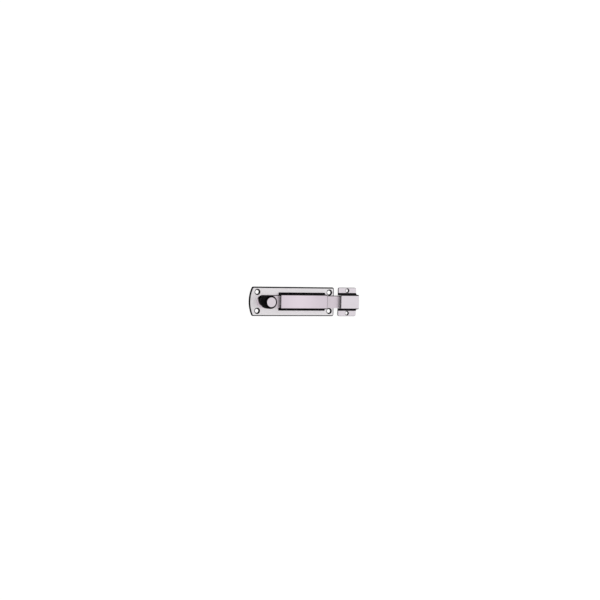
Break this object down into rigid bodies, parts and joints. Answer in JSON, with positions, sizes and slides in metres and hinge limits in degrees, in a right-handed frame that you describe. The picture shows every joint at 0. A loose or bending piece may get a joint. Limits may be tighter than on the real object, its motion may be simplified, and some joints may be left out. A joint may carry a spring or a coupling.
{
  "type": "surface slide bolt",
  "caption": "Flat surface slide bolt: plate with box housing, flat sliding bar with a turned knob, and a two-flange keeper.",
  "frame": {"origin": "centre of the back plate's four screw holes, on its back face", "axes": "+X along the bar towards the keeper, +Y across the plate, +Z out of the back plate towards the knob"},
  "size_m": [0.1313, 0.0324, 0.0287],
  "materials": {
    "plate_metal": "satin polished nickel plate",
    "housing_metal": "satin polished nickel plate",
    "bar_metal": "polished nickel plate",
    "knob_metal": "polished nickel plate, turned face",
    "screw_metal": "zinc-plated steel",
    "spring_metal": "tempered spring steel"
  },
  "bodies": {
    "bolt_body": {"back_plate": "plate_metal", "housing": "housing_metal", "stop_pin": "screw_metal"},
    "sliding_bar": {"slide_bar": "bar_metal", "knob": "knob_metal", "knob_screw": "screw_metal", "friction_spring": "spring_metal"},
    "keeper_body": {"keeper": "housing_metal"}
  },
  "joints": [
    {"name": "bar_slide", "type": "slide", "parent": "bolt_body", "child": "sliding_bar", "axis": [1, 0, 0], "range_m": [-0.008, 0.014]},
    {"name": "keeper_apart", "type": "slide", "parent": "bolt_body", "child": "keeper_body", "axis": [1, 0, 0], "range_m": [0, 0.025]}
  ]
}
